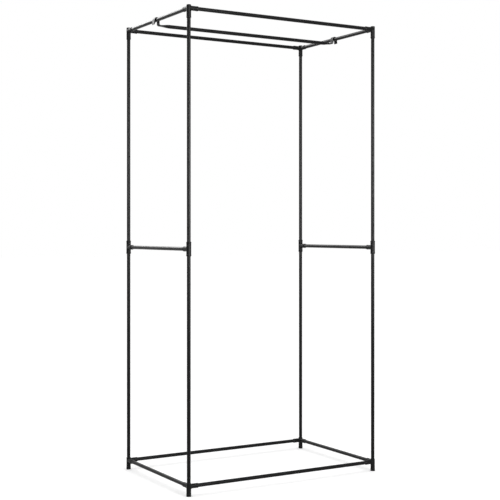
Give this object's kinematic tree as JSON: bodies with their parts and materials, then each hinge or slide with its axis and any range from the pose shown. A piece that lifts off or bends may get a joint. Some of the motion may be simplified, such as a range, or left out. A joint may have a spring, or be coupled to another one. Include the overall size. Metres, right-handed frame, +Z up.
{
  "type": "wardrobe frame",
  "caption": "Open knock-down wardrobe frame of black steel tube with moulded corner and T connectors and a hook-on hanging rod for clothes.",
  "frame": {"origin": "on the floor, under the middle of the frame", "axes": "+Z up, the front at -Y, the hanging rod along X, the side rails along Y"},
  "size_m": [0.769, 0.4896, 1.6011],
  "materials": {
    "tube": "semi-gloss black paint on steel tube",
    "connector": "satin black moulded plastic",
    "glide": "dull black soft plastic"
  },
  "bodies": {
    "frame": {"foot_glide_front_left": "glide", "bottom_corner_connector_front_left": "connector", "lower_upright_tube_front_left": "tube", "tee_connector_front_left": "connector", "upper_upright_tube_front_left": "tube", "top_corner_connector_front_left": "connector", "foot_glide_front_right": "glide", "bottom_corner_connector_front_right": "connector", "lower_upright_tube_front_right": "tube", "tee_connector_front_right": "connector", "upper_upright_tube_front_right": "tube", "top_corner_connector_front_right": "connector", "foot_glide_back_right": "glide", "bottom_corner_connector_back_right": "connector", "lower_upright_tube_back_right": "tube", "tee_connector_back_right": "connector", "upper_upright_tube_back_right": "tube", "top_corner_connector_back_right": "connector", "foot_glide_back_left": "glide", "bottom_corner_connector_back_left": "connector", "lower_upright_tube_back_left": "tube", "tee_connector_back_left": "connector", "upper_upright_tube_back_left": "tube", "top_corner_connector_back_left": "connector", "bottom_long_rail_front": "tube", "top_long_rail_front": "tube", "bottom_long_rail_back": "tube", "top_long_rail_back": "tube", "bottom_side_rail_left": "tube", "middle_side_rail_left": "tube", "top_side_rail_left": "tube", "bottom_side_rail_right": "tube", "middle_side_rail_right": "tube", "top_side_rail_right": "tube"},
    "rod": {"hanging_rod": "tube"}
  },
  "joints": [
    {"name": "rod_slide", "type": "slide", "parent": "frame", "child": "rod", "axis": [0, 1, 0], "range_m": [-0.2009, 0.1849]}
  ]
}
